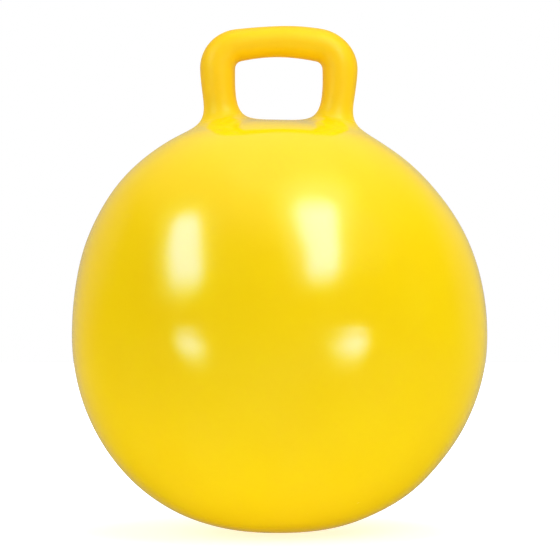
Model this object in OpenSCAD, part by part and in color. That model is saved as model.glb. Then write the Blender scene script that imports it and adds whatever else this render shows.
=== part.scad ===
// Hopper ball: an inflated seat for a child, with a closed ring handle on its crown.
// The ball stands on the floor at the origin, +Z is up, and the handle's bar runs along X.

/* [Ball] */
// Width of the ball at its belt
ball_d = 450; // [380:5:650]
// How far the belt stands out past the round sides above and below it
belt_bulge = 1.2; // [0.4:0.1:3]
// Height between the centres of the upper and the lower round
ball_stretch = 15.5; // [6:0.5:30]
// Thickness of the skin
skin_wall = 1.2; // [0.8:0.1:3]
// Radius of the flat patch that the ball rests on
foot_r = 20; // [12:1:40]
// How far the ball's weight presses the lower round flat
foot_sink = 8.5; // [5:0.5:16]

/* [Crown] */
// How far the crown lies under the top of the upper round
crown_dip = 8.2; // [3:0.2:10]
// Width of the flatter crown that carries the handle
crown_w = 206; // [190:2:240]
// Radius that rounds the edge of the crown
shoulder_r = 120; // [60:5:160]

/* [Handle] */
// Height of the handle's top above the crown
handle_rise = 101.8; // [90:1:140]
// Distance between the axes of the two legs where they are widest apart
handle_span = 133; // [120:1:150]
// Outer diameter of the handle's tube
tube_d = 35; // [28:1:42]
// Thickness of the tube's wall
tube_wall = 4; // [2:0.5:6]
// Radius of the two corners, at the tube's axis
corner_r = 27; // [20:0.5:32]
// How far the bar rises from its corners to its middle
bar_arch = 3.1; // [1:0.1:6]
// Radius of the flare from a leg into the crown
root_r = 16; // [10:1:18]
// Width of the thin edge of the root, where it meets the skin
root_land = 1; // [0.5:0.1:2]

/* [Valve] */
// Height of the valve on the back of the ball, as an angle above the belt
valve_angle = 32; // [26:1:45]
// Diameter of the valve's disc in the skin
disc_d = 34; // [26:1:44]
// Thickness of that disc
disc_t = 3.4; // [2.8:0.1:5]
// Diameter of the neck inside the ball
neck_d = 17; // [14:0.5:22]
// Length of the neck, from the outside of the skin
neck_l = 25; // [22:1:35]
// Bore that takes the pump's nozzle
bore_d = 8; // [6:0.1:10]

/* [Plug] */
// Diameter of the plug's head
head_d = 18; // [15:0.5:22]
// Thickness of the plug's head
head_t = 1.6; // [1.2:0.1:2]
// Bevel round the top of the head
head_bevel = 0.5; // [0.2:0.1:0.8]
// Diameter of the plug's shank
shank_d = 6.8; // [4:0.1:7.4]
// Length of the shank below the head
shank_l = 18; // [12:1:20]
// Number of sealing rings on the shank
ring_count = 3; // [1:1:4]
// Height of one sealing ring
ring_h = 1.8; // [1:0.1:2.4]

/* [Clearances] */
// Running clearance of the sealing rings in the bore, on the radius
ring_fit = 0.05; // [0.02:0.01:0.1]
// Gap round the head, on the radius
head_fit = 0.3; // [0.2:0.05:0.6]
// Gap between the head and its seat
seat_fit = 0.1; // [0.05:0.05:0.3]

/* [Hidden] */
$fn = 96;
arc_step = 2;

// Two equal rounds, one above the other, joined by the longer curve of the belt
round_r = ball_d / 2 - belt_bulge;
low_z = round_r - foot_sink;
high_z = low_z + ball_stretch;
belt_z = (low_z + high_z) / 2;
belt_r = (pow(ball_stretch / 2, 2) / belt_bulge + ball_d / 2 + round_r) / 2;
belt_x = ball_d / 2 - belt_r;
belt_a = atan2(ball_stretch / 2, -belt_x);

// The curve from the flat foot to the lower round
foot_curve_r = round_r - foot_sink / 2 - pow(foot_r, 2) / (2 * foot_sink);
foot_a = asin(foot_r / (round_r - foot_curve_r));

// The crown is a flatter cap that meets the upper round at crown_w, with a rounded shoulder between them
crown_z = high_z + round_r - crown_dip;
crown_sag = crown_z - high_z - sqrt(pow(round_r, 2) - pow(crown_w / 2, 2));
cap_r = (pow(crown_w / 2, 2) + pow(crown_sag, 2)) / (2 * crown_sag);
cap_z = crown_z - cap_r;
cap_reach = cap_r - shoulder_r;
high_reach = round_r - shoulder_r;
shoulder_up = (pow(cap_reach, 2) - pow(high_reach, 2) + pow(high_z - cap_z, 2)) / (2 * (high_z - cap_z));
shoulder_z = cap_z + shoulder_up;
shoulder_x = sqrt(pow(cap_reach, 2) - pow(shoulder_up, 2));
cap_a = atan2(shoulder_x, shoulder_z - cap_z);
high_a = atan2(shoulder_x, shoulder_z - high_z);

// The handle's axis in the XZ plane: an arched bar, two corners, and two legs that lean in to stand square on the cap
tube_r = tube_d / 2;
air_r = tube_r - tube_wall;
leg_x = handle_span / 2;
bar_z = crown_z + handle_rise - tube_r;
corner_x = leg_x - corner_r;
corner_z = bar_z - bar_arch - corner_r;
bar_r = (pow(corner_x, 2) + pow(corner_r + bar_arch, 2) - pow(corner_r, 2)) / (2 * bar_arch);
bar_a = asin(corner_x / (bar_r - corner_r));

// The root is turned about a line through the cap's centre: its two flares spring from the same height
root_up = sqrt(pow(cap_r + root_r, 2) - pow(tube_r + root_r, 2));
root_edge = (tube_r + root_r) * cap_r / (cap_r + root_r);
rim_r = root_edge + root_land;
cap_inner = cap_r - skin_wall;
skirt_z = even(cap_r / 2);
air_root_r = (pow(root_up, 2) - pow(cap_inner, 2) + pow(air_r, 2)) / (2 * (cap_inner - air_r));
air_edge = (air_r + air_root_r) * cap_inner / (cap_inner + air_root_r);
leg_up = corner_z - cap_z;
leg_r = (pow(leg_x, 2) + pow(leg_up, 2) - pow(root_up, 2)) / (2 * leg_x);
leg_a = atan2(leg_x - leg_r, leg_up) + asin(leg_r / norm([leg_x - leg_r, leg_up]));

// The valve stands square on the upper round
disc_r = disc_d / 2;
neck_r = neck_d / 2;
bore_r = bore_d / 2;
head_r = head_d / 2;
seat_up = sqrt(pow(round_r, 2) - pow(head_r, 2)) - head_t - seat_fit;
ring_r = bore_r - ring_fit;
ring_pitch = shank_l / (ring_count + 1);

// Each bend of the handle runs on a little way inside the next one, which is wider by a hair
bend_overrun = 0.5;
bend_step = 0.05;

// Nearest thousandth, so that solids that are stacked share one plane
function even(height) = round(height * 1000) / 1000;

// Points along an arc, from one angle up to another, without the last one
function arc(centre, r, from, to) = let (steps = ceil((to - from) / arc_step))
    [for (i = [0:steps - 1]) let (a = from + (to - from) * i / steps) centre + r * [cos(a), sin(a)]];

// Half the ball's outline from the foot up to the crown, moved inwards by the given depth
function ball_outline(depth) = concat(
    [[0, depth]],
    arc([foot_r, foot_curve_r], foot_curve_r - depth, -90, foot_a - 90),
    arc([0, low_z], round_r - depth, foot_a - 90, -belt_a),
    arc([belt_x, belt_z], belt_r - depth, -belt_a, belt_a),
    arc([0, high_z], round_r - depth, belt_a, 90 - high_a),
    arc([shoulder_x, shoulder_z], shoulder_r - depth, 90 - high_a, 90 - cap_a),
    arc([0, cap_z], cap_r - depth, 90 - cap_a, 90),
    [[0, crown_z - depth]]
);

function backwards(points) = [for (i = [len(points) - 1:-1:0]) points[i]];

// Puts its children on the line from the cap's centre through a leg's foot
module at_root(side) {
    translate([0, 0, cap_z]) rotate([0, side * leg_a, 0]) children();
}

// Puts its children on the valve's axis, with the upper round's centre at zero
module at_valve() {
    translate([0, 0, high_z]) rotate([valve_angle - 90, 0, 0]) children();
}

module ball_skin() {
    color([0.96, 0.84, 0.10]) difference() {
        rotate_extrude() polygon(concat(ball_outline(0), backwards(ball_outline(skin_wall))));
        for (side = [-1, 1]) at_root(side) translate([0, 0, skirt_z]) cylinder(r = rim_r, h = cap_r);
        at_valve() translate([0, 0, round_r / 2]) cylinder(r = disc_r, h = round_r);
    }
}

// Bent rod in the XZ plane, from one angle to another about its centre
module bend(centre, r, from, to, rod_r) {
    translate([centre[0], 0, centre[1]]) rotate([90, 0, 0]) rotate([0, 0, from])
        rotate_extrude(angle = to - from) translate([r, 0]) circle(rod_r);
}

// Solid of a flare from a round stem into a cap, about the line through the cap's centre
module flare(stem_r, flare_r, edge, shell_r, skirt_r, skirt_up) {
    edge_up = even(sqrt(pow(shell_r, 2) - pow(edge, 2)));
    translate([0, 0, edge_up]) rotate_extrude() difference() {
        square([edge, root_up - edge_up]);
        translate([stem_r + flare_r, root_up - edge_up]) circle(flare_r);
    }
    translate([0, 0, root_up - bend_overrun]) cylinder(r = stem_r + bend_step, h = 2 * bend_overrun);
    intersection() {
        sphere(shell_r);
        translate([0, 0, skirt_up]) cylinder(r = skirt_r, h = edge_up - skirt_up);
    }
}

// Solid of the whole ring: its outside, or the air inside it
module ring_solid(rod_r, flare_r, edge, shell_r, skirt_r, skirt_up) {
    bar_over = bend_overrun / bar_r * 180 / PI;
    leg_over = bend_overrun / leg_r * 180 / PI;
    bend([0, bar_z - bar_r], bar_r, 90 - bar_a - bar_over, 90 + bar_a + bar_over, rod_r);
    for (side = [0, 1]) mirror([side, 0, 0]) {
        bend([corner_x, corner_z], corner_r, 0, 90 - bar_a, rod_r + bend_step);
        bend([leg_x - leg_r, corner_z], leg_r, -leg_a, leg_over, rod_r);
        at_root(1) flare(rod_r, flare_r, edge, shell_r, skirt_r, skirt_up);
    }
}

module handle_ring() {
    color([1.00, 0.79, 0.07]) difference() {
        ring_solid(tube_r, root_r, root_edge, cap_r, rim_r, skirt_z);
        ring_solid(air_r, air_root_r, air_edge, cap_inner, 2 * rim_r, skirt_z / 2);
    }
}

module valve_body() {
    color([0.94, 0.80, 0.12]) at_valve() difference() {
        union() {
            intersection() {
                difference() {
                    sphere(round_r);
                    sphere(round_r - disc_t);
                }
                cylinder(r = disc_r, h = ball_d);
            }
            translate([0, 0, round_r - neck_l]) cylinder(r = neck_r, h = neck_l - disc_t / 2);
        }
        cylinder(r = bore_r, h = ball_d);
        translate([0, 0, seat_up]) cylinder(r = head_r + head_fit, h = ball_d);
    }
}

module valve_plug() {
    color([0.95, 0.94, 0.90]) at_valve() {
        translate([0, 0, seat_up + seat_fit]) {
            cylinder(r = head_r, h = head_t - head_bevel);
            translate([0, 0, head_t - head_bevel]) cylinder(r1 = head_r, r2 = head_r - head_bevel, h = head_bevel);
        }
        translate([0, 0, seat_up - shank_l]) cylinder(r = shank_d / 2, h = shank_l + seat_fit + head_t / 2);
        for (i = [1:ring_count]) translate([0, 0, seat_up - i * ring_pitch]) {
            cylinder(r1 = ring_r, r2 = shank_d / 2, h = ring_h / 2);
            mirror([0, 0, 1]) cylinder(r1 = ring_r, r2 = shank_d / 2, h = ring_h / 2);
        }
    }
}

ball_skin();
handle_ring();
valve_body();
valve_plug();
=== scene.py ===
"""Hopper ball with a closed ring handle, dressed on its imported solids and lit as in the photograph.

The skin and the handle are one continuous inflated surface. It is described by a distance function that is
made of the same tangent arcs as the solids, and a coarse cage of quads is subdivided and drawn onto it.
"""

import logging
import math
from collections.abc import Iterable, Sequence
from dataclasses import dataclass, field, replace
from enum import Enum

import bpy
import numpy as np
from mathutils import Matrix, Vector


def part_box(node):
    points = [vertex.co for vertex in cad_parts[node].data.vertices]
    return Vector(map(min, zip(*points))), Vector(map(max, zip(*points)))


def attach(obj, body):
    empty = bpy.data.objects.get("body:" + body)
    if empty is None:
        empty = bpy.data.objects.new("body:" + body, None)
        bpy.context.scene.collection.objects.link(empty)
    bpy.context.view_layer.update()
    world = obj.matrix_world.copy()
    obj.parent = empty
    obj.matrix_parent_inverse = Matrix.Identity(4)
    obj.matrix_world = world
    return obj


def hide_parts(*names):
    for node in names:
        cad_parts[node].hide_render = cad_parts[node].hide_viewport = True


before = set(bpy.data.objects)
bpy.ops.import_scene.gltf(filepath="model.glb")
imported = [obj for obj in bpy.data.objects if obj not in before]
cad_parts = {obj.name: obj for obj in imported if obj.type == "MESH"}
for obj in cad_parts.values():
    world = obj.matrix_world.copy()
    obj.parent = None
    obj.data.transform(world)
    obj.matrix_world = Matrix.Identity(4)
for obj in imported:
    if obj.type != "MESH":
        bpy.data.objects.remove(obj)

LOG = logging.getLogger("hopper_ball")
MM = 0.001
OCTAGON = 8
# Radius under which a turned point lies on the axis
ON_AXIS = 1e-9
# Largest share of a side that the rounding of one of its corners takes
MOST_TRIM = 0.45

Colour = tuple[float, float, float]
Place = tuple[float, float, float]
Outline = list[tuple[float, float]]
Socket = bpy.types.NodeSocket
# What a node's input is given: a socket to link from, or a value
Given = Socket | float | tuple[float, ...]


class Side(Enum):
    """The two legs of the handle."""

    LEFT = -1
    RIGHT = 1


class Slot(Enum):
    """Material slots of the record."""

    SKIN = "skin_vinyl"
    HANDLE = "handle_vinyl"
    VALVE = "valve_vinyl"
    PLUG = "plug_vinyl"


class Body(Enum):
    """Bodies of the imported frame."""

    BALL = "ball"
    PLUG = "plug"


def smoothstep(low: float, high: float, value: np.ndarray) -> np.ndarray:
    """Eases from 0 at low to 1 at high, for each of the values."""
    t = np.clip((value - low) / (high - low), 0, 1)
    return t * t * (3 - 2 * t)


# ---------------------------------------------------------------------------------------------------------
# Form: the arcs of the ball and of the handle, and the surface that joins them
# ---------------------------------------------------------------------------------------------------------


@dataclass(frozen=True)
class Arc:
    """Arc of an outline in a vertical plane: sideways and up.

    Attributes:
        centre: Its centre.
        radius: Its radius.
        end: Angle in radians at which the next piece of the outline takes over.
    """

    centre: tuple[float, float]
    radius: float
    end: float = 0.0

    def beyond(self, side: np.ndarray, up: np.ndarray) -> np.ndarray:
        """Tells how far points lie past the line through the centre at the end angle, anticlockwise."""
        return math.cos(self.end) * (up - self.centre[1]) - math.sin(self.end) * (side - self.centre[0])

    def reach(self, side: np.ndarray, up: np.ndarray) -> np.ndarray:
        """Gives the distance of points from the centre."""
        return np.hypot(side - self.centre[0], up - self.centre[1])


@dataclass(frozen=True)
class BallForm:
    """Outline of the ball: a flat foot, two rounds joined by the belt, a shoulder and a flatter crown.

    Attributes:
        width: Width at the belt.
        belt_bulge: How far the belt stands out past the rounds.
        stretch: Height between the centres of the two rounds.
        foot_radius: Radius of the flat foot.
        foot_sink: How far the lower round is pressed flat.
        crown_dip: How far the crown lies under the top of the upper round.
        crown_width: Width of the crown's flatter cap.
        shoulder_radius: Radius between the cap and the upper round.
        wall: Thickness of the skin.
    """

    width: float
    belt_bulge: float = 1.2 * MM
    stretch: float = 15.5 * MM
    foot_radius: float = 20 * MM
    foot_sink: float = 8.5 * MM
    crown_dip: float = 8.2 * MM
    crown_width: float = 206 * MM
    shoulder_radius: float = 120 * MM
    wall: float = 1.2 * MM

    @property
    def round_radius(self) -> float:
        """Radius of the upper and the lower round."""
        return self.width / 2 - self.belt_bulge

    @property
    def low(self) -> float:
        """Height of the lower round's centre."""
        return self.round_radius - self.foot_sink

    @property
    def high(self) -> float:
        """Height of the upper round's centre."""
        return self.low + self.stretch

    @property
    def belt(self) -> Arc:
        """The belt between the two rounds."""
        half = self.stretch / 2
        radius = (half**2 / self.belt_bulge + self.width / 2 + self.round_radius) / 2
        centre = self.width / 2 - radius
        return Arc((centre, (self.low + self.high) / 2), radius, math.atan2(half, -centre))

    @property
    def crown(self) -> float:
        """Height of the crown."""
        return self.high + self.round_radius - self.crown_dip

    @property
    def cap(self) -> Arc:
        """The crown's flatter cap."""
        half = self.crown_width / 2
        sag = self.crown - self.high - math.sqrt(self.round_radius**2 - half**2)
        radius = (half**2 + sag**2) / (2 * sag)
        return Arc((0.0, self.crown - radius), radius)

    def arcs(self) -> list[Arc]:
        """Lists the arcs from the foot up to the crown, each with the angle at which the next one begins.

        Returns:
            The arcs in order.
        """
        cap, belt, shoulder = self.cap, self.belt, self.shoulder_radius
        foot_curve = self.round_radius - self.foot_sink / 2 - self.foot_radius**2 / (2 * self.foot_sink)
        foot_angle = math.asin(self.foot_radius / (self.round_radius - foot_curve))
        cap_reach, high_reach = cap.radius - shoulder, self.round_radius - shoulder
        rise = self.high - cap.centre[1]
        up = (cap_reach**2 - high_reach**2 + rise**2) / (2 * rise)
        out = math.sqrt(cap_reach**2 - up**2)
        top = cap.centre[1] + up
        return [
            Arc((self.foot_radius, foot_curve), foot_curve, foot_angle - math.pi / 2),
            Arc((0.0, self.low), self.round_radius, -belt.end),
            belt,
            Arc((0.0, self.high), self.round_radius, math.atan2(top - self.high, out)),
            Arc((out, top), shoulder, math.atan2(up, out)),
            cap,
        ]

    def distance(self, side: np.ndarray, up: np.ndarray) -> np.ndarray:
        """Measures how far points lie outside the ball.

        Args:
            side: Distance of the points from the ball's axis.
            up: Their height.

        Returns:
            The distance, negative inside.
        """
        arcs = self.arcs()
        result = np.where(side < self.foot_radius, -up, arcs[0].reach(side, up) - arcs[0].radius)
        for arc, following in zip(arcs, arcs[1:]):
            result = np.where(arc.beyond(side, up) > 0, following.reach(side, up) - following.radius, result)
        return result


@dataclass(frozen=True)
class HandleForm:
    """Axis and thickness of the handle: an arched bar, two corners and two legs that lean in.

    Attributes:
        top: Height of the handle's top.
        cap: The crown's cap, on which the legs stand square.
        tube: Outer radius of the solid's tube.
        span: Distance between the legs' axes where they are widest apart.
        corner_radius: Radius of the corners at the axis.
        bar_arch: How far the bar rises from its corners to its middle.
        root_flare: Radius of the flare from a leg into the crown.
        bar_tube: The visible tube's radius in the bar's middle.
        leg_tube: Its radius in the legs.
        growth_share: Share of the way from the bar's middle to a corner's end over which it grows.
        corner_swell: How far it swells where a corner ends.
        swell_width: Width of that swell.
        root_sink: How far the axis runs on under the crown.
        wall: Thickness of the wall.
    """

    top: float
    cap: Arc
    tube: float = 17.5 * MM
    span: float = 133 * MM
    corner_radius: float = 27 * MM
    bar_arch: float = 3.1 * MM
    root_flare: float = 16 * MM
    bar_tube: float = 16.6 * MM
    leg_tube: float = 17.5 * MM
    growth_share: float = 0.85
    corner_swell: float = 0.8 * MM
    swell_width: float = 18 * MM
    root_sink: float = 40 * MM
    wall: float = 4 * MM

    @property
    def corner(self) -> Arc:
        """The bend from the bar into the right leg."""
        across = self.span / 2 - self.corner_radius
        up = self.top - self.tube - self.bar_arch - self.corner_radius
        return Arc((across, up), self.corner_radius)

    @property
    def bar(self) -> Arc:
        """The arched bar."""
        x, rise = self.corner.centre[0], self.corner_radius + self.bar_arch
        radius = (x**2 + rise**2 - self.corner_radius**2) / (2 * self.bar_arch)
        angle = math.asin(x / (radius - self.corner_radius))
        return Arc((0.0, self.top - self.tube - radius), radius, math.pi / 2 - angle)

    @property
    def leg(self) -> Arc:
        """The right leg's bend, down to where it stands square on the cap."""
        root_up = math.sqrt((self.cap.radius + self.root_flare) ** 2 - (self.tube + self.root_flare) ** 2)
        up = self.corner.centre[1] - self.cap.centre[1]
        half = self.span / 2
        radius = (half**2 + up**2 - root_up**2) / (2 * half)
        lean = math.atan2(half - radius, up) + math.asin(radius / math.hypot(half - radius, up))
        return Arc((half - radius, self.corner.centre[1]), radius, -lean)

    @property
    def lengths(self) -> tuple[float, float, float, float]:
        """Lengths along the axis from the bar's middle to the ends of the bar, corner, leg and root."""
        bar = self.bar.radius * (math.pi / 2 - self.bar.end)
        corner = bar + self.corner_radius * self.bar.end
        leg = corner + self.leg.radius * -self.leg.end
        ends = self.leg_end()
        root = leg + math.hypot(ends[0], ends[1] - self.cap.centre[1]) - self.cap.radius + self.root_sink
        return bar, corner, leg, root

    @property
    def foot(self) -> float:
        """Length along the axis from the bar's middle to the crown."""
        return self.lengths[3] - self.root_sink

    def leg_end(self) -> tuple[float, float]:
        """Gives the point where a leg's bend ends."""
        leg = self.leg
        return leg.centre[0] + leg.radius * math.cos(leg.end), leg.centre[1] + leg.radius * math.sin(leg.end)

    def place(self, along: float) -> tuple[Vector, Vector]:
        """Finds a point on the axis.

        Args:
            along: Length from the bar's middle, positive towards the right leg.

        Returns:
            The point, and the direction square to the axis that points out of the ring.
        """
        bar, corner, leg, _ = self.lengths
        side, s = math.copysign(1.0, along), abs(along)
        if s <= bar:
            arc, angle = self.bar, math.pi / 2 - s / self.bar.radius
        elif s <= corner:
            arc, angle = self.corner, self.bar.end - (s - bar) / self.corner_radius
        elif s <= leg:
            arc, angle = self.leg, -(s - corner) / self.leg.radius
        else:
            arc, angle = self.leg, self.leg.end
        x, z = arc.centre[0] + arc.radius * math.cos(angle), arc.centre[1] + arc.radius * math.sin(angle)
        past = max(0.0, s - leg)
        x, z = x + past * math.sin(angle), z - past * math.cos(angle)
        return Vector((side * x, 0, z)), Vector((side * math.cos(angle), 0, math.sin(angle)))

    def nearest(self, side: np.ndarray, up: np.ndarray) -> tuple[np.ndarray, np.ndarray, np.ndarray]:
        """Finds where points in the ring's plane lie beside its axis.

        Args:
            side: Distance of the points from the middle plane.
            up: Their height.

        Returns:
            Length along the axis, how far outside of the axis they lie, and how far past its end.
        """
        bar, corner, leg, root = self.lengths
        angle = np.arctan2(side - self.bar.centre[0], up - self.bar.centre[1])
        along, out = angle * self.bar.radius, self.bar.reach(side, up) - self.bar.radius
        turn = Arc(self.corner.centre, self.corner_radius, self.bar.end)
        in_corner = turn.beyond(side, up) < 0
        angle = self.bar.end - np.arctan2(up - turn.centre[1], side - turn.centre[0])
        along = np.where(in_corner, bar + angle * turn.radius, along)
        out = np.where(in_corner, turn.reach(side, up) - turn.radius, out)
        in_leg = up < turn.centre[1]
        angle = np.arctan2(turn.centre[1] - up, side - self.leg.centre[0])
        along = np.where(in_leg, corner + angle * self.leg.radius, along)
        out = np.where(in_leg, self.leg.reach(side, up) - self.leg.radius, out)
        end, lean = self.leg_end(), self.leg.end
        in_root = self.leg.beyond(side, up) < 0
        past = (side - end[0]) * math.sin(lean) - (up - end[1]) * math.cos(lean)
        along = np.where(in_root, leg + past, along)
        out = np.where(in_root, (side - end[0]) * math.cos(lean) + (up - end[1]) * math.sin(lean), out)
        return np.minimum(along, root), out, np.maximum(along - root, 0)

    def thickness(self, along: np.ndarray) -> np.ndarray:
        """Gives the tube's radius along its axis: slim in the bar, and fullest where the corners end.

        Args:
            along: Lengths from the bar's middle.

        Returns:
            The radius at each.
        """
        corner_end = self.lengths[1]
        growth = smoothstep(0, corner_end * self.growth_share, along)
        swell = self.corner_swell * np.exp(-(((along - corner_end) / self.swell_width) ** 2))
        return self.bar_tube + (self.leg_tube - self.bar_tube) * growth + swell


@dataclass(frozen=True)
class ValveForm:
    """Place and size of the valve on the back of the ball.

    Attributes:
        middle: Height of the middle of the upper round.
        ball_radius: Radius of that round.
        angle: Height of the valve, as an angle above the belt.
        disc_radius: Radius of the disc in the skin.
        disc_depth: Thickness of the disc.
        neck_radius: Radius of the neck inside the ball.
        neck_length: Length of the neck, from the outside of the skin.
        bore_radius: Radius of the bore.
        head_radius: Radius of the plug's head.
        head_depth: Thickness of the head.
        head_gap: Gap round the head.
        seat_gap: Gap between the head and its seat.
        shank_radius: Radius of the plug's shank.
        shank_length: Length of the shank.
        ring_radius: Radius of the sealing rings.
        ring_count: Number of rings.
        ring_height: Height of a ring.
    """

    middle: float
    ball_radius: float
    angle: float = math.radians(32)
    disc_radius: float = 17 * MM
    disc_depth: float = 3.4 * MM
    neck_radius: float = 8.5 * MM
    neck_length: float = 25 * MM
    bore_radius: float = 4 * MM
    head_radius: float = 9 * MM
    head_depth: float = 1.6 * MM
    head_gap: float = 0.3 * MM
    seat_gap: float = 0.1 * MM
    shank_radius: float = 3.4 * MM
    shank_length: float = 18 * MM
    ring_radius: float = 3.95 * MM
    ring_count: int = 3
    ring_height: float = 1.8 * MM

    @property
    def axis(self) -> Vector:
        """Direction in which the plug is pulled out."""
        return Vector((0, math.cos(self.angle), math.sin(self.angle)))

    @property
    def seat(self) -> float:
        """Height of the head's seat along the axis, from the middle of the upper round."""
        return math.sqrt(self.ball_radius**2 - self.head_radius**2) - self.head_depth - self.seat_gap

    def matrix(self) -> Matrix:
        """Gives the frame whose Z is the valve's axis."""
        return Matrix.Translation((0, 0, self.middle)) @ Matrix.Rotation(self.angle - math.pi / 2, 4, "X")

    def beside(self, points: np.ndarray) -> tuple[np.ndarray, np.ndarray]:
        """Measures points from the valve's axis.

        Args:
            points: Points in rows.

        Returns:
            Their distance from the axis, and their height along it.
        """
        offset = points - np.array((0, 0, self.middle))
        up = offset @ np.array(self.axis)
        return np.linalg.norm(offset - up[:, None] * np.array(self.axis), axis=1), up


@dataclass(frozen=True)
class InflatedForm:
    """The surface of the ball and its handle, with soft roots and the slight unevenness of inflated vinyl.

    Attributes:
        ball: Outline of the ball.
        handle: Axis of the handle.
        valve: Place of the valve, where the surface keeps to the solid.
        valve_reach: How far that holds, as a share of the valve's disc.
        inner_blend: Width of the soft root inside the ring.
        outer_blend: Width of the soft root outside it.
        inner_spread: How steeply the tube's distance grows inside the ring; less makes the root longer.
        outer_spread: The same outside the ring.
        lean_belt: How far the ball stands to the right at its belt.
        lean_top: How far its shoulders stand to the left of that.
        lean_foot: How far its foot stands to the left of that.
        top_full: Height at which the shoulders lean fully, where the ball's top is 1.
        foot_full: Depth at which the foot does, where its bottom is 1.
        ring_shift: How far the ring stands to the right.
        ring_tilt: How much the ring falls towards the right.
        sag: How far the lower half stands out.
        fall: How far the upper half falls back.
        wave_height: Height of each wave.
        wave_lengths: Shortest and longest wave.
        wave_count: Number of waves.
        wave_seed: Seed of their directions.
        probe: Step for slopes.
        march_rounds: Number of steps along a ray.
        warm_share: Share of the warmer vinyl at the handle's legs.
        warm_rises: Heights at which the legs and the bar are reached, as shares of the handle's height.
        edge_shade_turns: How far the handle's surface turns from facing front or back where its painted
        shade on the sides begins, and where it is full.
    """

    ball: BallForm
    handle: HandleForm
    valve: ValveForm
    valve_reach: float = 3.0
    inner_blend: float = 32 * MM
    outer_blend: float = 36.4 * MM
    inner_spread: float = 0.74
    outer_spread: float = 0.59
    lean_belt: float = 0.8 * MM
    lean_top: float = 6.6 * MM
    lean_foot: float = 2.0 * MM
    top_full: float = 0.9
    foot_full: float = 0.7
    ring_shift: float = -0.5 * MM
    ring_tilt: float = 0.0045
    sag: float = 1.9 * MM
    fall: float = 0.84 * MM
    wave_height: float = 0.14 * MM
    wave_lengths: tuple[float, float] = (75 * MM, 150 * MM)
    wave_count: int = 9
    wave_seed: int = 11
    probe: float = 0.01 * MM
    march_rounds: int = 60
    warm_share: float = 0.85
    warm_rises: tuple[float, float] = (0.45, 0.9)
    edge_shade_turns: tuple[float, float] = (0.12, 0.7)

    def waves(self, points: np.ndarray) -> np.ndarray:
        """Gives the height of the waves, which die out at the foot and at the valve.

        Args:
            points: Points in rows.

        Returns:
            The height at each point.
        """
        random = np.random.default_rng(self.wave_seed)
        directions = random.normal(size=(self.wave_count, 3))
        directions /= np.linalg.norm(directions, axis=1)[:, None]
        turns = 2 * math.pi / random.uniform(*self.wave_lengths, self.wave_count)
        starts = random.uniform(0, 2 * math.pi, self.wave_count)
        height = np.sin(points @ (directions * turns[:, None]).T + starts).sum(axis=1) * self.wave_height
        return height * smoothstep(0, self.ball.foot_radius, points[:, 2])

    def off_valve(self, points: np.ndarray) -> np.ndarray:
        """Tells how free the surface is: 0 at the valve, where it keeps to the solid, and 1 away from it.

        Args:
            points: Points in rows.

        Returns:
            The share at each point.
        """
        beside, up = self.valve.beside(points)
        disc = self.valve.disc_radius
        return np.where(up > 0, smoothstep(disc, self.valve_reach * disc, beside), 1.0)

    def sagging(self, turn: np.ndarray) -> np.ndarray:
        """Gives how far the surface stands out under the ball's own weight, at heights from -1 to 1."""
        return np.where(turn < 0, self.sag, self.fall) * np.sin(-math.pi * turn)

    def leaning(self, turn: np.ndarray) -> np.ndarray:
        """Tells how far the ball stands to the right.

        Args:
            turn: Heights, where the belt is 0 and the top 1.

        Returns:
            The shift at each height.
        """
        top = self.lean_top * smoothstep(0, self.top_full, turn)
        foot = self.lean_foot * smoothstep(0, self.foot_full, -turn)
        return self.lean_belt - top - foot

    def value(self, points: np.ndarray) -> np.ndarray:
        """Measures how far points lie outside the surface, close to it.

        Args:
            points: Points in rows.

        Returns:
            The distance, negative inside.
        """
        x, up = points[:, 0], points[:, 2]
        turn = np.clip((up - self.ball.belt.centre[1]) / (self.ball.width / 2), -1, 1)
        off_valve = self.off_valve(points)
        ball = self.ball.distance(np.hypot(x - self.leaning(turn) * off_valve, points[:, 1]), up)
        along, out, past = self.handle.nearest(np.abs(x - self.ring_shift), up + self.ring_tilt * x)
        beside = np.sqrt(out**2 + points[:, 1] ** 2 + past**2)
        tube = beside - self.handle.thickness(along)
        outer = smoothstep(-1, 1, out / np.maximum(beside, self.probe))
        width = self.inner_blend + (self.outer_blend - self.inner_blend) * outer
        tube = tube * (self.inner_spread + (self.outer_spread - self.inner_spread) * outer)
        share = np.maximum(width - np.abs(ball - tube), 0) / width
        soft_root = share**3 * width / 6
        uneven = (self.waves(points) + self.sagging(turn)) * off_valve
        return np.minimum(ball, tube) - soft_root - uneven

    def normals(self, points: np.ndarray) -> np.ndarray:
        """Measures the gradient of the distance.

        Args:
            points: Points in rows.

        Returns:
            The gradients in rows.
        """
        steps = np.eye(3) * self.probe
        rises = [self.value(points + step) - self.value(points - step) for step in steps]
        return np.stack(rises, axis=1) / (2 * self.probe)

    def project(self, points: np.ndarray, rounds: int = 12) -> np.ndarray:
        """Draws points onto the surface.

        Args:
            points: Points near the surface, in rows.
            rounds: Number of steps.

        Returns:
            The points on the surface.
        """
        for _ in range(rounds):
            slope = self.normals(points)
            points = points - slope * (self.value(points) / (slope**2).sum(axis=1))[:, None]
        return points

    def bounce(self, eye: Vector, through: np.ndarray) -> tuple[np.ndarray, np.ndarray]:
        """Follows rays from an eye to the surface, where they are mirrored.

        Args:
            eye: Where the rays start.
            through: A point on each ray, in rows.

        Returns:
            The points where the rays meet the surface, and the directions in which they leave.
        """
        ray = through - np.array(eye)
        ray /= np.linalg.norm(ray, axis=1)[:, None]
        reach = np.full(len(ray), eye.length - self.ball.width)
        for _ in range(self.march_rounds):
            reach = reach + self.value(np.array(eye) + ray * reach[:, None])
        hits = np.array(eye) + ray * reach[:, None]
        normals = self.normals(hits)
        normals /= np.linalg.norm(normals, axis=1)[:, None]
        return hits, ray - 2 * (ray * normals).sum(axis=1)[:, None] * normals

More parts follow.
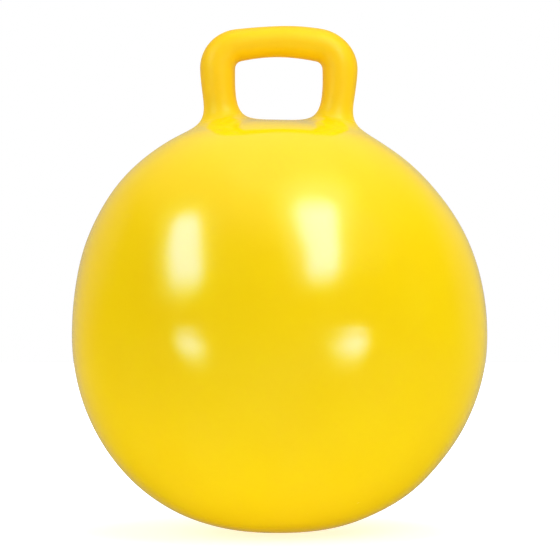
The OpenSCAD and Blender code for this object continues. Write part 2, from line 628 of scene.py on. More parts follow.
    def warmth(self, points: np.ndarray) -> np.ndarray:
        """Tells how much of the handle's thicker, warmer vinyl shows.

        Args:
            points: Points in rows.

        Returns:
            The share at each point: 0 on the ball, 1 at the bar.
        """
        above = self.ball.distance(np.hypot(points[:, 0], points[:, 1]), points[:, 2])
        legs, bar = (share * (self.handle.top - self.ball.crown) for share in self.warm_rises)
        in_legs, in_bar = smoothstep(0, legs, above), smoothstep(legs, bar, above)
        return self.warm_share * in_legs + (1 - self.warm_share) * in_bar

    def edge_shade(self, points: np.ndarray) -> np.ndarray:
        """Tells how much painted shade darkens the handle's sides, which face away from the front and back.

        Args:
            points: Points in rows.

        Returns:
            The share at each point: 0 where the handle faces front or back, 1 where it faces sideways.
        """
        normals = self.normals(points)
        across = np.abs(normals[:, 1]) / np.linalg.norm(normals, axis=1)
        # Painted shade: darker where the handle's surface faces away from the front and back
        return self.warmth(points) * smoothstep(*self.edge_shade_turns, 1 - across)


# ---------------------------------------------------------------------------------------------------------
# Meshes
# ---------------------------------------------------------------------------------------------------------


@dataclass
class Shell:
    """Open or closed surface with a smooth normal and a warmth for each vertex.

    Attributes:
        points: Vertices in rows.
        quads: Faces of four vertices in rows.
        normals: Outward normals, one for each vertex.
        depth: Thickness of the wall under each vertex.
        warmth: Share of the warmer vinyl at each vertex.
        edge_shade: Share of the painted shade on the handle's sides.
    """

    points: np.ndarray
    quads: np.ndarray
    normals: np.ndarray
    depth: np.ndarray
    warmth: np.ndarray
    edge_shade: np.ndarray

    def part(self, chosen: np.ndarray) -> "Shell":
        """Takes the chosen faces, with their own vertices.

        Args:
            chosen: Whether each face is taken.

        Returns:
            The surface of those faces.
        """
        kept, quads = np.unique(self.quads[chosen], return_inverse=True)
        values = (self.normals[kept], self.depth[kept], self.warmth[kept], self.edge_shade[kept])
        return Shell(self.points[kept], quads.reshape(-1, 4), *values)

    def rim_edges(self) -> np.ndarray:
        """Lists the edges that only one face uses, each in that face's direction.

        Returns:
            Pairs of vertex numbers in rows.
        """
        edges = np.concatenate([self.quads[:, [i, (i + 1) % 4]] for i in range(4)])
        key = edges.min(axis=1) * len(self.points) + edges.max(axis=1)
        _, first, count = np.unique(key, return_index=True, return_counts=True)
        return edges[first[count == 1]]

    def solid(self, name: str) -> bpy.types.Object:
        """Builds the wall: the surface, its inside, and the strips that close its rims.

        Args:
            name: Name of the piece.

        Returns:
            The object, at the origin.
        """
        count = len(self.points)
        inside = self.points - self.normals * self.depth[:, None]
        rim = self.rim_edges()
        strips = np.stack([rim[:, 1], rim[:, 0], rim[:, 0] + count, rim[:, 1] + count], axis=1)
        faces = np.concatenate([self.quads, self.quads[:, ::-1] + count, strips])
        obj = new_object(name, np.concatenate([self.points, inside]), faces)
        mesh = obj.data
        corners = np.concatenate([self.normals, -self.normals])[faces.ravel()]
        # A normal of zero is worked out from the face, which keeps the rims sharp
        corners[-strips.size :] = 0
        mesh.polygons.foreach_set("use_smooth", np.arange(len(faces)) < 2 * len(self.quads))
        mesh.normals_split_custom_set(corners)
        put_values(obj, "warmth", np.tile(self.warmth, 2))
        # The painted shade of the handle's sides is stored with the warmth for the material
        put_values(obj, "edge_shade", np.tile(self.edge_shade, 2))
        return obj


def new_object(
    name: str,
    points: Iterable[Sequence[float]],
    faces: Iterable[Sequence[int]] = (),
    edges: Iterable[Sequence[int]] = (),
) -> bpy.types.Object:
    """Makes a smooth mesh object at the origin and links it.

    Args:
        name: Name of the object.
        points: Vertices.
        faces: Faces as rows of vertex numbers.
        edges: Edges as pairs of vertex numbers.

    Returns:
        The object.
    """
    mesh = bpy.data.meshes.new(name)
    as_lists = faces.tolist() if isinstance(faces, np.ndarray) else list(faces)
    mesh.from_pydata([tuple(p) for p in points], list(edges), as_lists)
    mesh.update()
    mesh.polygons.foreach_set("use_smooth", [True] * len(mesh.polygons))
    obj = bpy.data.objects.new(name, mesh)
    bpy.context.scene.collection.objects.link(obj)
    return obj


def put_values(obj: bpy.types.Object, name: str, values: np.ndarray) -> None:
    """Stores one number for each vertex of an object under a name."""
    obj.data.attributes.new(name, "FLOAT", "POINT").data.foreach_set("value", values.astype(np.float32))


def evaluated_copy(obj: bpy.types.Object, name: str) -> bpy.types.Object:
    """Replaces an object with live modifiers by a plain mesh object of their result.

    Args:
        obj: Object to evaluate. It is removed.
        name: Name of the new object.

    Returns:
        The new object, at the origin.
    """
    bpy.context.view_layer.update()
    mesh = bpy.data.meshes.new_from_object(obj.evaluated_get(bpy.context.evaluated_depsgraph_get()))
    mesh.name = name
    bpy.data.objects.remove(obj)
    result = bpy.data.objects.new(name, mesh)
    bpy.context.scene.collection.objects.link(result)
    return result


def rounded(corners: list[tuple[float, float, float]], closed: bool, steps: int = 6) -> Outline:
    """Rounds the corners of an outline.

    Args:
        corners: Sideways, up and radius of each corner, in order.
        closed: Whether the outline closes on itself.
        steps: Pieces of each rounding.

    Returns:
        The points of the outline.
    """
    result: Outline = []
    last = len(corners) - 1
    for i, (x, y, radius) in enumerate(corners):
        if radius <= 0 or (not closed and i in (0, last)):
            result.append((x, y))
            continue
        here = Vector((x, y))
        before = Vector(corners[i - 1][:2]) - here
        after = Vector(corners[(i + 1) % len(corners)][:2]) - here
        half = before.angle(after) / 2
        trim = min(radius / math.tan(half), MOST_TRIM * min(before.length, after.length))
        start, end = here + before.normalized() * trim, here + after.normalized() * trim
        for step in range(steps + 1):
            t = step / steps
            point = start * (1 - t) ** 2 + here * (2 * t * (1 - t)) + end * t**2
            result.append((point.x, point.y))
    return result


def turned(name: str, outline: Outline, place: Matrix, segments: int, closed: bool) -> bpy.types.Object:
    """Turns an outline about the Z axis of a frame.

    Args:
        name: Name of the object.
        outline: Distance from the axis and height of each point. The solid lies on its left.
        place: Frame of the axis.
        segments: Number of steps around.
        closed: Whether the outline is a closed loop. An open one begins and ends on the axis.

    Returns:
        The object, at the origin.
    """
    points: list[Vector] = []
    rings: list[list[int]] = []
    for radius, height in outline:
        around = segments if radius > ON_AXIS else 1
        rings.append(list(range(len(points), len(points) + around)))
        for k in range(around):
            angle = 2 * math.pi * k / around
            points.append(place @ Vector((radius * math.cos(angle), radius * math.sin(angle), height)))
    faces: list[tuple[int, ...]] = []
    for low, high in list(zip(rings, rings[1:])) + ([(rings[-1], rings[0])] if closed else []):
        for k in range(segments):
            n = (k + 1) % segments
            quad = (low[k % len(low)], low[n % len(low)], high[n % len(high)], high[k % len(high)])
            faces.append(tuple(dict.fromkeys(quad)))
    return new_object(name, points, faces)


@dataclass
class Cage:
    """Coarse cage of quads that is subdivided and drawn onto the inflated surface.

    Attributes:
        form: The surface.
        columns: Angles of the cage's lines from the middle plane across, up to 45 degrees.
        rows: Angles of its lines from front to back.
        levels: Angles of its lines above and below the middle.
        fineness: How often the cage is subdivided.
        root_ring: Radius of the octagon round each root.
        rim_drop: How far it lies under the crown.
        flare_rings: Height over the crown of the octagons in the root, and their share of the tube's radius.
        slack: That share of the other octagons along the handle.
        ring_step: Distance between them.
        octagon_shrink: How far subdivision shrinks an octagon.
        circle_rounds: Number of times that the rim at the valve is drawn to its circle.
        points: Vertices.
        quads: Faces.
        numbers: Numbers of the vertices by their direction.
    """

    form: InflatedForm
    columns: tuple[float, ...] = (0, 7, 17.4, 28.5, 37, 45)
    rows: tuple[float, ...] = (0, 10.5, 21.5, 33, 45)
    levels: tuple[float, ...] = (-45, -33.75, -22.5, -11.25, 0, 11.25, 22.5, 33.66, 45)
    fineness: int = 3
    root_ring: float = 34 * MM
    rim_drop: float = 1 * MM
    flare_rings: tuple[tuple[float, float], ...] = ((9 * MM, 1.25), (1 * MM, 1.6))
    slack: float = 1.1
    ring_step: float = 13 * MM
    octagon_shrink: float = 0.902
    circle_rounds: int = 3
    points: list[Vector] = field(default_factory=list)
    quads: list[tuple[int, ...]] = field(default_factory=list)
    numbers: dict[tuple[float, float, float], int] = field(default_factory=dict)

    def corner(self, x: float, y: float, z: float) -> int:
        """Finds or adds the vertex in the direction of a point on the cage's cube.

        Args:
            x: Angle sideways, in degrees.
            y: Angle from front to back.
            z: Angle upwards.

        Returns:
            The number of the vertex.
        """
        key = (round(x, 3), round(y, 3), round(z, 3))
        if key not in self.numbers:
            direction = Vector([math.tan(math.radians(a)) for a in key]).normalized()
            middle = Vector((0, 0, self.form.ball.belt.centre[1]))
            self.numbers[key] = len(self.points)
            self.points.append(middle + direction * self.form.ball.width / 2)
        return self.numbers[key]

    def cube(self) -> None:
        """Covers the cube's six sides, leaving out a block of four quads at each root and at the valve."""
        x_lines = sorted({s * a for a in self.columns for s in (-1, 1)})
        y_lines = sorted({s * a for a in self.rows for s in (-1, 1)})
        z_lines = list(self.levels)
        edge = self.columns[-1]
        sides = [
            (x_lines, y_lines, lambda a, b: (a, b, edge), False),
            (x_lines, y_lines, lambda a, b: (a, b, -edge), True),
            (x_lines, z_lines, lambda a, b: (a, -edge, b), False),
            (x_lines, z_lines, lambda a, b: (a, edge, b), True),
            (y_lines, z_lines, lambda a, b: (-edge, a, b), True),
            (y_lines, z_lines, lambda a, b: (edge, a, b), False),
        ]
        for first, second, to_cube, turn in sides:
            for a0, a1 in zip(first, first[1:]):
                for b0, b1 in zip(second, second[1:]):
                    if self.left_out(to_cube((a0 + a1) / 2, (b0 + b1) / 2)):
                        continue
                    quad = [self.corner(*to_cube(a, b)) for a, b in ((a0, b0), (a1, b0), (a1, b1), (a0, b1))]
                    self.quads.append(tuple(quad[::-1] if turn else quad))

    def left_out(self, middle: tuple[float, float, float]) -> bool:
        """Tells whether a quad belongs to the open block of a root or of the valve.

        Args:
            middle: The three angles of its middle.

        Returns:
            Whether it is left out.
        """
        x, y, z = middle
        edge = self.columns[-1]
        at_root = z == edge and self.columns[1] < abs(x) < self.columns[3] and abs(y) < self.rows[1]
        at_valve = y == edge and abs(x) < self.columns[1] and z > self.levels[-3]
        return at_root or at_valve

    def open_loop(self, near: Vector) -> list[int]:
        """Finds the loop of vertices round the open block that is nearest to a point.

        Args:
            near: The point.

        Returns:
            The numbers of its vertices, in the order of its edges.
        """
        used = {(q[i], q[(i + 1) % len(q)]) for q in self.quads for i in range(len(q))}
        follows = {b: a for a, b in used if (b, a) not in used}
        loops: list[list[int]] = []
        while follows:
            start, following = next(iter(follows.items()))
            loop = [start]
            while following != start:
                loop.append(following)
                following = follows[following]
            for number in loop:
                del follows[number]
            loops.append(loop)

        def far(loop: list[int]) -> float:
            """Measures how far the middle of a loop lies from the point."""
            return (sum((self.points[number] for number in loop), Vector()) / len(loop) - near).length

        return min(loops, key=far)

    def ring(self, centre: Vector, out: Vector, across: Vector, radius: float) -> list[int]:
        """Adds an octagon of vertices.

        Args:
            centre: Its centre.
            out: Direction of its first vertex.
            across: Direction of its third vertex.
            radius: Its radius.

        Returns:
            The numbers of its vertices.
        """
        start = len(self.points)
        for k in range(OCTAGON):
            angle = 2 * math.pi * k / OCTAGON
            self.points.append(centre + (out * math.cos(angle) + across * math.sin(angle)) * radius)
        return list(range(start, start + OCTAGON))

    def join(self, loop: list[int], ring: list[int]) -> None:
        """Joins an open loop of eight vertices to a ring, each to the nearest one.

        Args:
            loop: Numbers of the loop's vertices.
            ring: Numbers of the ring's vertices.
        """

        def match(turn: int, way: int) -> list[int]:
            """Lists the ring's vertices from one of them on, in one of the two directions."""
            return [ring[(turn + way * k) % OCTAGON] for k in range(OCTAGON)]

        def length(found: list[int]) -> float:
            """Adds up the distances between the loop and the ring's vertices."""
            return sum((self.points[a] - self.points[b]).length for a, b in zip(loop, found))

        best = min((match(turn, way) for turn in range(OCTAGON) for way in (-1, 1)), key=length)
        for k in range(OCTAGON):
            n = (k + 1) % OCTAGON
            self.quads.append((loop[k], loop[n], best[n], best[k]))

    def stations(self) -> list[tuple[float, float]]:
        """Lists the octagons along the handle.

        Returns:
            Length from the bar's middle and share of the tube's radius of each.
        """
        handle = self.form.handle
        end = handle.lengths[2]
        along = np.linspace(-end, end, 2 * round(end / self.ring_step) + 1)
        flare = [(handle.foot - up, share) for up, share in self.flare_rings]
        return [(-s, share) for s, share in reversed(flare)] + [(float(s), self.slack) for s in along] + flare

    def build(self) -> tuple[Shell, np.ndarray]:
        """Builds the cage, subdivides it and draws it onto the surface.

        Returns:
            The surface of the whole ball, and which of its faces belong to the handle.
        """
        handle, valve = self.form.handle, self.form.valve
        self.cube()
        across = Vector((0, 1, 0))
        loops = {side: self.open_loop(handle.place(side.value * handle.foot)[0]) for side in Side}
        rings: list[list[int]] = []
        for along, share in self.stations():
            centre, out = handle.place(along)
            rings.append(self.ring(centre, out, across, handle.tube * share))
        for side in Side:
            centre, out = handle.place(side.value * (handle.foot + self.rim_drop))
            rim = self.ring(centre, out, across, self.root_ring)
            self.join(loops[side], rim)
            rings.insert(0 if side is Side.LEFT else len(rings), rim)
        place = valve.matrix()
        middle, up = place @ Vector((0, 0, valve.ball_radius)), place.to_3x3() @ Vector((0, 1, 0))
        around = self.ring(middle, Vector((1, 0, 0)), up, valve.disc_radius / self.octagon_shrink)
        self.join(self.open_loop(middle), around)
        skin_faces = len(self.quads)
        for low, high in zip(rings, rings[1:]):
            for k in range(OCTAGON):
                n = (k + 1) % OCTAGON
                self.quads.append((low[k], high[k], high[n], low[n]))
        return self.subdivide(skin_faces)

    def subdivide(self, skin_faces: int) -> tuple[Shell, np.ndarray]:
        """Subdivides the cage, and draws it onto the surface with a true circle round the valve.

        Args:
            skin_faces: Number of faces that belong to the skin. They come first.

        Returns:
            The surface of the whole ball, and which of its faces belong to the handle.
        """
        obj = new_object("cage", self.points, self.quads)
        tags = np.arange(len(self.quads)) >= skin_faces
        obj.data.materials.append(None)
        obj.data.materials.append(None)
        obj.data.polygons.foreach_set("material_index", tags.astype(np.int32))
        modifier = obj.modifiers.new("subdivide", "SUBSURF")
        modifier.levels = modifier.render_levels = self.fineness
        obj = evaluated_copy(obj, "cage")
        mesh = obj.data
        points, quads = np.empty(len(mesh.vertices) * 3), np.empty(len(mesh.loops), np.int32)
        in_handle = np.empty(len(mesh.polygons), np.int32)
        mesh.vertices.foreach_get("co", points)
        mesh.loops.foreach_get("vertex_index", quads)
        mesh.polygons.foreach_get("material_index", in_handle)
        bpy.data.objects.remove(obj)
        points, quads = self.form.project(points.reshape(-1, 3)), quads.reshape(-1, 4)
        shell = self.dressed(points, quads)
        rim = np.unique(shell.rim_edges())
        points[rim] = self.on_valve_circle(points[rim])
        return self.dressed(points, quads), in_handle > 0

    def on_valve_circle(self, points: np.ndarray) -> np.ndarray:
        """Moves the hole's rim onto the edge of the valve's disc.

        Args:
            points: Points of the rim in rows.

        Returns:
            The moved points.
        """
        valve = self.form.valve
        for _ in range(self.circle_rounds):
            beside, up = valve.beside(points)
            foot = np.array((0, 0, valve.middle)) + up[:, None] * np.array(valve.axis)
            onto_circle = (valve.disc_radius / beside)[:, None]
            points = self.form.project(foot + (points - foot) * onto_circle, self.circle_rounds)
        return points

    def dressed(self, points: np.ndarray, quads: np.ndarray) -> Shell:
        """Adds normals, wall, tones and the painted shade of the handle's sides to points on the surface.

        Args:
            points: Vertices in rows.
            quads: Faces in rows.

        Returns:
            The surface with all of them.
        """
        normals = self.form.normals(points)
        normals /= np.linalg.norm(normals, axis=1)[:, None]
        warmth = self.form.warmth(points)
        depth = self.form.ball.wall + (self.form.handle.wall - self.form.ball.wall) * warmth
        return Shell(points, quads, normals, depth, warmth, self.form.edge_shade(points))


# ---------------------------------------------------------------------------------------------------------
# Geometry Nodes: what follows a path or repeats
# ---------------------------------------------------------------------------------------------------------


@dataclass
class NodeTree:
    """Short way to build a node tree.

    Attributes:
        tree: The tree that is built.
    """

    tree: bpy.types.NodeTree

    def add(
        self, kind: str, inputs: dict[str | int, Given] | None = None, **settings: object
    ) -> bpy.types.Node:
        """Adds a node.

        Args:
            kind: Type name of the node.
            inputs: Values, or sockets to link from, by input name or number.
            settings: Attributes of the node.

        Returns:
            The node.
        """
        node = self.tree.nodes.new(kind)
        for name, value in settings.items():
            setattr(node, name, value)
        self.set(node, inputs or {})
        return node

    def set(self, node: bpy.types.Node, inputs: dict[str | int, Given]) -> None:
        """Gives a node's inputs their values.

        Args:
            node: The node.
            inputs: Values, or sockets to link from, by input name or number.
        """
        for name, value in inputs.items():
            if isinstance(value, Socket):
                self.tree.links.new(value, node.inputs[name])
            else:
                node.inputs[name].default_value = value

    def interface(self, inputs: dict[str, str], outputs: dict[str, str]) -> bpy.types.NodeOutputs:
        """Args:
            inputs: Kind of each input by its name.
            outputs: Kind of each output by its name.

        Returns:
            The sockets from which the inputs are read.
        """
        for way, sockets in (("INPUT", inputs), ("OUTPUT", outputs)):
            for name, kind in sockets.items():
                self.tree.interface.new_socket(name=name, in_out=way, socket_type=f"NodeSocket{kind}")
        return self.add("NodeGroupInput").outputs

    def stored(self, name: str) -> Socket:
        """Reads the number that the mesh stores for each vertex under a name."""
        return self.add("ShaderNodeAttribute", attribute_name=name).outputs["Fac"]

    def calc(self, operation: str, a: Given, b: Given, **settings: bool) -> Socket:
        """Adds a calculation with two values or sockets, and gives its result."""
        return self.add("ShaderNodeMath", {0: a, 1: b}, operation=operation, **settings).outputs[0]

    def remap(
        self,
        value: Socket,
        start: tuple[float, float] = (0.0, 1.0),
        end: tuple[Given, Given] = (0.0, 1.0),
        kind: str = "LINEAR",
    ) -> Socket:
        """Maps a value from one range to another.

        Args:
            value: Socket to map.
            start: Range that it is mapped from. Outside it the result stays at the ends.
            end: Values or sockets that the range's ends become.
            kind: Interpolation between them.

        Returns:
            The result.
        """
        low, high = end
        inputs = {"Value": value, "From Min": start[0], "From Max": start[1], "To Min": low, "To Max": high}
        return self.add("ShaderNodeMapRange", inputs, interpolation_type=kind).outputs[0]

    def mixed(self, share: Given, a: Given, b: Given) -> Socket:
        """Mixes two colours by a share of the second, and gives the result."""
        # Of the node's sockets, inputs 6 and 7 and output 2 are the ones for colours
        return self.add("ShaderNodeMix", {0: share, 6: a, 7: b}, data_type="RGBA").outputs[2]

    def noise(self, where: Socket, scale: Given, detail: float, **more: float) -> Socket:
        """Adds a noise.

        Args:
            where: Place at which it is read.
            scale: Its scale.
            detail: Its detail.
            more: Other inputs, by their names in small letters.

        Returns:
            Its value.
        """
        inputs = {"Vector": where, "Scale": scale, "Detail": detail}
        inputs |= {name.capitalize(): value for name, value in more.items()}
        return self.add("ShaderNodeTexNoise", inputs).outputs[0]

    def painted(self, geometry: Socket, material: Socket) -> None:
        """Ends a geometry tree: makes the geometry real, shades it smooth and paints it.

        Args:
            geometry: The geometry.
            material: The material.
        """
        whole = self.add("GeometryNodeRealizeInstances", {0: geometry}).outputs[0]
        smooth = self.add("GeometryNodeSetShadeSmooth", {"Geometry": whole, "Shade Smooth": True}).outputs[0]
        result = self.add("GeometryNodeSetMaterial", {"Geometry": smooth, "Material": material}).outputs[0]
        self.add("NodeGroupOutput", {"Geometry": result})


def apply_tree(
    obj: bpy.types.Object, tree: bpy.types.NodeTree, values: dict[str, object], name: str
) -> bpy.types.Object:
    """Runs a geometry tree on an object once, and keeps its result as a plain mesh.

    Args:
        obj: Object that carries the tree. It is removed.
        tree: The tree.
        values: Values of its named inputs.
        name: Name of the result.

    Returns:
        The resulting object.
    """
    modifier = obj.modifiers.new(tree.name, "NODES")
    modifier.node_group = tree
    for item in tree.interface.items_tree:
        if item.item_type == "SOCKET" and item.in_out == "INPUT" and item.name in values:
            modifier[item.identifier] = values[item.name]
    return evaluated_copy(obj, name)


def ridge_tree() -> bpy.types.NodeTree:
    """Makes the geometry tree that lays a thin round ridge along the edges of a mesh.

    Returns:
        The tree.
    """
    nodes = NodeTree(bpy.data.node_groups.new("Ridge along edges", "GeometryNodeTree"))
    inputs = {"Geometry": "Geometry", "Radius": "Float", "Sides": "Int", "Material": "Material"}
    given = nodes.interface(inputs, {"Geometry": "Geometry"})
    path = nodes.add("GeometryNodeMeshToCurve", {"Mesh": given["Geometry"]}).outputs[0]
    size = {"Resolution": given["Sides"], "Radius": given["Radius"]}
    profile = nodes.add("GeometryNodeCurvePrimitiveCircle", size).outputs[0]
    ridge = nodes.add("GeometryNodeCurveToMesh", {"Curve": path, "Profile Curve": profile})
    nodes.painted(ridge.outputs[0], given["Material"])
    return nodes.tree


def rib_tree() -> bpy.types.NodeTree:
    """Makes the geometry tree that sets ribs in a circle about the Z axis, each along the radius.

    Returns:
        The tree.
    """
    nodes = NodeTree(bpy.data.node_groups.new("Ribs in a circle", "GeometryNodeTree"))
    sizes = {name: "Float" for name in ("Circle radius", "Rib radius", "Rib length")}
    inputs = {"Geometry": "Geometry", "Count": "Int", **sizes, "Material": "Material"}
    given = nodes.interface(inputs, {"Geometry": "Geometry"})
    places = {"Vertices": given["Count"], "Radius": given["Circle radius"]}
    circle = nodes.add("GeometryNodeMeshCircle", places).outputs[0]
    size = {"Segments": 12, "Rings": 8, "Radius": given["Rib radius"]}
    ball = nodes.add("GeometryNodeMeshUVSphere", size).outputs[0]
    ratio = nodes.calc("DIVIDE", given["Rib length"], given["Rib radius"])
    stretch = nodes.add("ShaderNodeCombineXYZ", {"X": ratio, "Y": 1.0, "Z": 1.0}).outputs[0]
    place = nodes.add("GeometryNodeInputPosition").outputs[0]
    turn = nodes.add("FunctionNodeAlignRotationToVector", {"Vector": place}, axis="X").outputs[0]
    each = {"Points": circle, "Instance": ball, "Rotation": turn, "Scale": stretch}
    ribs = nodes.add("GeometryNodeInstanceOnPoints", each)
    nodes.painted(ribs.outputs[0], given["Material"])
    return nodes.tree


# ---------------------------------------------------------------------------------------------------------
# Finishes
# ---------------------------------------------------------------------------------------------------------


def cloud_group() -> bpy.types.NodeTree:
    """Makes the shader group that shifts a colour between two tones in soft clouds with fine mottling.

    Returns:
        The group.
    """
    # How much finer the mottling is than the clouds, its share, and the values that become 0 and 1
    finer, mottle_share, band = 14.0, 0.25, (0.35, 0.65)
    nodes = NodeTree(bpy.data.node_groups.new("Clouded tone", "ShaderNodeTree"))
    inputs = {"Tone": "Color", "Deep tone": "Color", "Cloud size": "Float", "Strength": "Float"}
    given = nodes.interface(inputs, {"Color": "Color"})
    where = nodes.add("ShaderNodeTexCoord").outputs["Object"]
    scale = nodes.calc("DIVIDE", 1.0, given["Cloud size"])
    clouds = nodes.noise(where, scale, 3.0, roughness=0.55)
    mottle = nodes.noise(where, nodes.calc("MULTIPLY", scale, finer), 2.0, roughness=0.6)
    both = nodes.add("ShaderNodeMix", {"Factor": mottle_share, "A": clouds, "B": mottle}).outputs[0]
    share = nodes.calc("MULTIPLY", nodes.remap(both, band), given["Strength"])
    nodes.add("NodeGroupOutput", {"Color": nodes.mixed(share, given["Tone"], given["Deep tone"])})
    return nodes.tree


def gloss_group() -> bpy.types.NodeTree:
    """Makes the shader group for the gloss of moulded vinyl: smudges, fine scuffs and a faint peel.

    Returns:
        The group.
    """
    # Scales are in waves to the metre, and bands are the values of a noise that become 0 and 1
    smudge_scale, smudge_band = 16.0, (0.42, 0.72)
    scratch_turn, scratch_scale, scratch_band = (0.4, 0.2, 0.7), (26.0, 190.0, 150.0), (0.66, 0.74)
    worn_scale, worn_band = 6.0, (0.5, 0.66)
    nodes = NodeTree(bpy.data.node_groups.new("Moulded gloss", "ShaderNodeTree"))
    inputs = {name: "Float" for name in ("Gloss", "Smudge", "Scuff", "Peel size", "Peel depth")}
    given = nodes.interface(inputs, {"Roughness": "Float", "Normal": "Vector"})
    where = nodes.add("ShaderNodeTexCoord").outputs["Object"]
    smudges = nodes.noise(where, smudge_scale, 4.0, roughness=0.6, distortion=0.6)
    smudge = nodes.calc("MULTIPLY", nodes.remap(smudges, smudge_band), given["Smudge"])
    turned_way = {"Vector": where, "Rotation": scratch_turn, "Scale": scratch_scale}
    long_way = nodes.add("ShaderNodeMapping", turned_way).outputs[0]
    scratch = nodes.remap(nodes.noise(long_way, 1.0, 3.0, roughness=0.7), scratch_band)
    worn = nodes.remap(nodes.noise(where, worn_scale, 2.0), worn_band)
    scuff = nodes.calc("MULTIPLY", nodes.calc("MULTIPLY", scratch, worn), given["Scuff"])
    smudged = nodes.calc("ADD", given["Gloss"], smudge)
    rough = nodes.calc("ADD", smudged, scuff, use_clamp=True)
    peel = nodes.noise(where, nodes.calc("DIVIDE", 1.0, given["Peel size"]), 1.5, roughness=0.45)
    relief = {"Strength": 1.0, "Distance": given["Peel depth"], "Height": peel}
    bump = nodes.add("ShaderNodeBump", relief).outputs[0]
    nodes.add("NodeGroupOutput", {"Roughness": rough, "Normal": bump})
    return nodes.tree


@dataclass(frozen=True)
class VinylFinish:
    """Look of one vinyl piece.

    Attributes:
        name: Name of the material.
        tone: Colour of the vinyl.
        deep: Deeper tone of its clouds.
        cloud_size: Size of the clouds.
        cloud_strength: How far the clouds go towards the deeper tone.
        gloss: Roughness of the clean surface.
        smudge: Roughness that smudges add.
        scuff: Roughness that scuffs add.
        peel_size: Size of the surface's fine peel.
        peel_depth: Depth of the peel.
        glow: Share of light that scatters under the surface.
        scatter: How far each colour scatters, as a share of scatter_depth.
        scatter_depth: Depth to which light scatters.
        shine: Strength of the mirrored light, where 0.5 is that of clean vinyl.
        ior: Index of refraction.
    """

    name: str
    tone: Colour = (0.92, 0.635, 0.0015)
    deep: Colour = (0.90, 0.59, 0.001)
    cloud_size: float = 90 * MM
    cloud_strength: float = 0.5
    gloss: float = 0.125
    smudge: float = 0.04
    scuff: float = 0.16
    peel_size: float = 2.5 * MM
    peel_depth: float = 0.01 * MM
    glow: float = 0.12
    scatter: Colour = (1.0, 0.8, 0.1)
    scatter_depth: float = 2 * MM
    shine: float = 0.5
    ior: float = 1.5

    def clouded(self, nodes: NodeTree, clouds: bpy.types.NodeTree, tone: Colour, deep: Colour) -> Socket:
        """Adds a clouded colour.

        Args:
            nodes: Tree of the material.
            clouds: The clouded tone group.
            tone: The colour.
            deep: Its deeper tone.

        Returns:
            The colour with its clouds.
        """
        inputs = {"Tone": (*tone, 1), "Deep tone": (*deep, 1)}
        inputs |= {"Cloud size": self.cloud_size, "Strength": self.cloud_strength}
        return nodes.add("ShaderNodeGroup", inputs, node_tree=clouds).outputs["Color"]

    def colour(self, nodes: NodeTree, clouds: bpy.types.NodeTree) -> Socket:
        """Gives the colour of the surface."""
        return self.clouded(nodes, clouds, self.tone, self.deep)

    def polish(self, nodes: NodeTree) -> tuple[Given, Given]:
        """Gives the roughness of the clean surface, and the strength of the mirrored light."""
        return self.gloss, self.shine

    def material(self, clouds: bpy.types.NodeTree, gloss: bpy.types.NodeTree) -> bpy.types.Material:
        """Builds the material.

        Args:
            clouds: The clouded tone group.
            gloss: The moulded gloss group.

        Returns:
            The material.
        """
        material = bpy.data.materials.new(self.name)
        material.use_nodes = True
        nodes = NodeTree(material.node_tree)
        clean, shine = self.polish(nodes)
        marks = {"Gloss": clean, "Smudge": self.smudge, "Scuff": self.scuff}
        marks |= {"Peel size": self.peel_size, "Peel depth": self.peel_depth}
        surface = nodes.add("ShaderNodeGroup", marks, node_tree=gloss).outputs
        nodes.set(
            material.node_tree.nodes["Principled BSDF"],
            {
                "Base Color": self.colour(nodes, clouds),
                "Roughness": surface["Roughness"],
                "Normal": surface["Normal"],
                "Specular IOR Level": shine,
                "IOR": self.ior,
                "Subsurface Weight": self.glow,
                "Subsurface Radius": self.scatter,
                "Subsurface Scale": self.scatter_depth,
            },
        )
        material.diffuse_color = (*self.tone, 1)
        return material


@dataclass(frozen=True)
class BlownFinish(VinylFinish):
    """Look of the blown skin and handle, whose vinyl grows thicker, warmer and duller into the handle.

    Attributes:
        warm: Colour of the vinyl where the wall is thicker.
        warm_deep: Deeper tone of its clouds.
        edge: Darker colour of painted shade on the handle's sides, which face away from front and back.
        warm_gloss: Its roughness.
        warm_shine: Strength of the light that it mirrors, dull from many hands.
        dull_from: Share of the warm tone from which the surface is fully dull.
    """

    warm: Colour = (0.98, 0.61, 0.002)
    warm_deep: Colour = (0.96, 0.55, 0.0015)
    # Painted shade colour for the handle's sides, not a tone of the vinyl
    edge: Colour = (0.78, 0.46, 0.0015)
    warm_gloss: float = 0.42
    warm_shine: float = 0.15
    dull_from: float = 0.12

    def colour(self, nodes: NodeTree, clouds: bpy.types.NodeTree) -> Socket:
        """Gives the colour of the surface.

        Args:
            nodes: Tree of the material.
            clouds: The clouded tone group.

        Returns:
            The colour, which goes from the ball's to the handle's, and from that to the painted shade on its
            sides.
        """
        cool = self.clouded(nodes, clouds, self.tone, self.deep)
        warm = self.clouded(nodes, clouds, self.warm, self.warm_deep)
        both = nodes.mixed(nodes.stored("warmth"), cool, warm)
        # Painted shade: the handle's sides are mixed towards the darker edge colour
        return nodes.mixed(nodes.stored("edge_shade"), both, (*self.edge, 1))

    def polish(self, nodes: NodeTree) -> tuple[Given, Given]:
        """Gives the roughness of the clean surface, and the strength of the mirrored light.

        Args:
            nodes: Tree of the material.

        Returns:
            Both, which go from the ball's to the handle's.
        """
        share, dull = nodes.stored("warmth"), (0.0, self.dull_from)
        clean = nodes.remap(share, dull, (self.gloss, self.warm_gloss))
        return clean, nodes.remap(share, dull, (self.shine, self.warm_shine))


